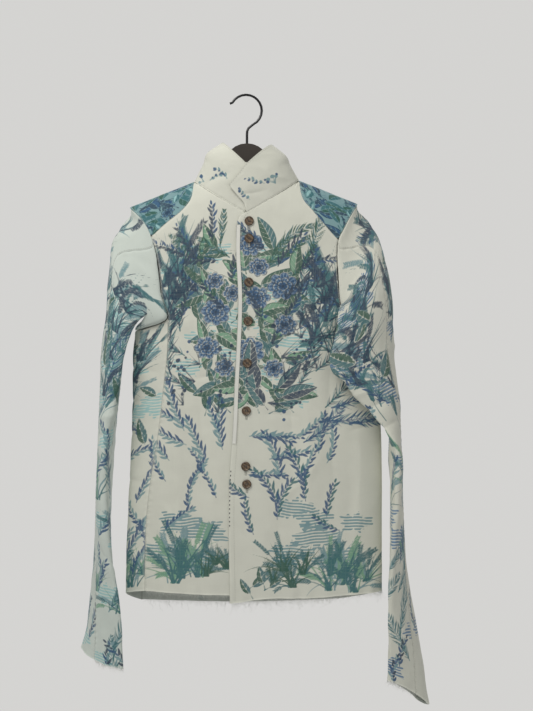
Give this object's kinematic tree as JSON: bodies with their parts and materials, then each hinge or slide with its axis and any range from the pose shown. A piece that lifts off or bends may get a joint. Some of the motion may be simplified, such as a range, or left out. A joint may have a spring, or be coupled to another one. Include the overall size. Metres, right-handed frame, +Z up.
{
  "type": "stand-collar button-front printed jacket on a flat hanger",
  "caption": "Narrow jacket of printed canvas with a stand collar, button front and two long sleeves, hung on a flat hanger with a wire hook.",
  "frame": {"origin": "inner top of the hanger's hook, where a rail or peg holds it", "axes": "+Z up, the jacket's front faces -Y, the wearer's right is at -X"},
  "size_m": [0.5538, 0.1168, 0.97],
  "materials": {
    "printed_canvas": "washed cotton canvas with a blue and green plant print",
    "yoke_canvas": "washed cotton canvas with a dense blue print",
    "frayed_thread": "loose undyed cotton threads",
    "button_horn": "brown horn-like, softly polished",
    "hanger_board": "dark stained board",
    "hook_wire": "black wire"
  },
  "bodies": {
    "root": {"hanger": "hanger_board", "hanger_hook": "hook_wire", "front_left": "printed_canvas", "front_right": "printed_canvas", "side_right": "printed_canvas", "side_left": "printed_canvas", "back": "printed_canvas", "yoke": "yoke_canvas", "collar": "printed_canvas", "sleeve_right_under": "printed_canvas", "sleeve_right_upper": "printed_canvas", "sleeve_left_under": "printed_canvas", "sleeve_left_upper": "printed_canvas", "front_edge_strip": "printed_canvas", "button_1": "button_horn", "button_2": "button_horn", "button_3": "button_horn", "button_4": "button_horn", "button_5": "button_horn", "button_6": "button_horn", "button_7": "button_horn", "button_8": "button_horn", "hem_fringe_front_left": "frayed_thread", "hem_fringe_front_right": "frayed_thread", "hem_fringe_back": "frayed_thread", "cuff_fringe_right": "frayed_thread", "cuff_fringe_left": "frayed_thread"}
  },
  "joints": []
}
